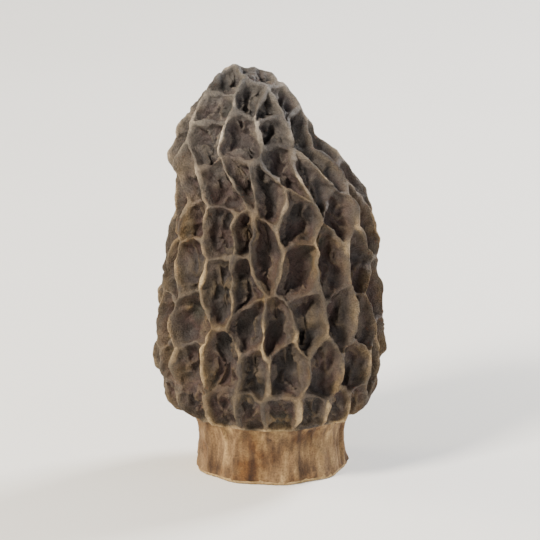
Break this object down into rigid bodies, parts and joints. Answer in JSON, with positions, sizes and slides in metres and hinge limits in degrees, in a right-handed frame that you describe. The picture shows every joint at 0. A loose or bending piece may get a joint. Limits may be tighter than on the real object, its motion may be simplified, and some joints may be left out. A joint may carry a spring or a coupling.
{
  "type": "black morel mushroom",
  "caption": "Dried black morel: a tall, tapering hollow cap with a raised net of ribs and deep pits, grown on a short trimmed stem and standing on its flat cut end.",
  "frame": {"origin": "middle of the bounding box in X and Y, on the plane of the cut stem", "axes": "+Z from the cut of the stem to the tip of the cap; -Y is the side seen in the picture, and the tip leans towards -X"},
  "size_m": [0.02, 0.0184, 0.0357],
  "materials": {
    "dried_morel_flesh": "matte"
  },
  "bodies": {
    "root": {"morel": "dried_morel_flesh"}
  },
  "joints": []
}
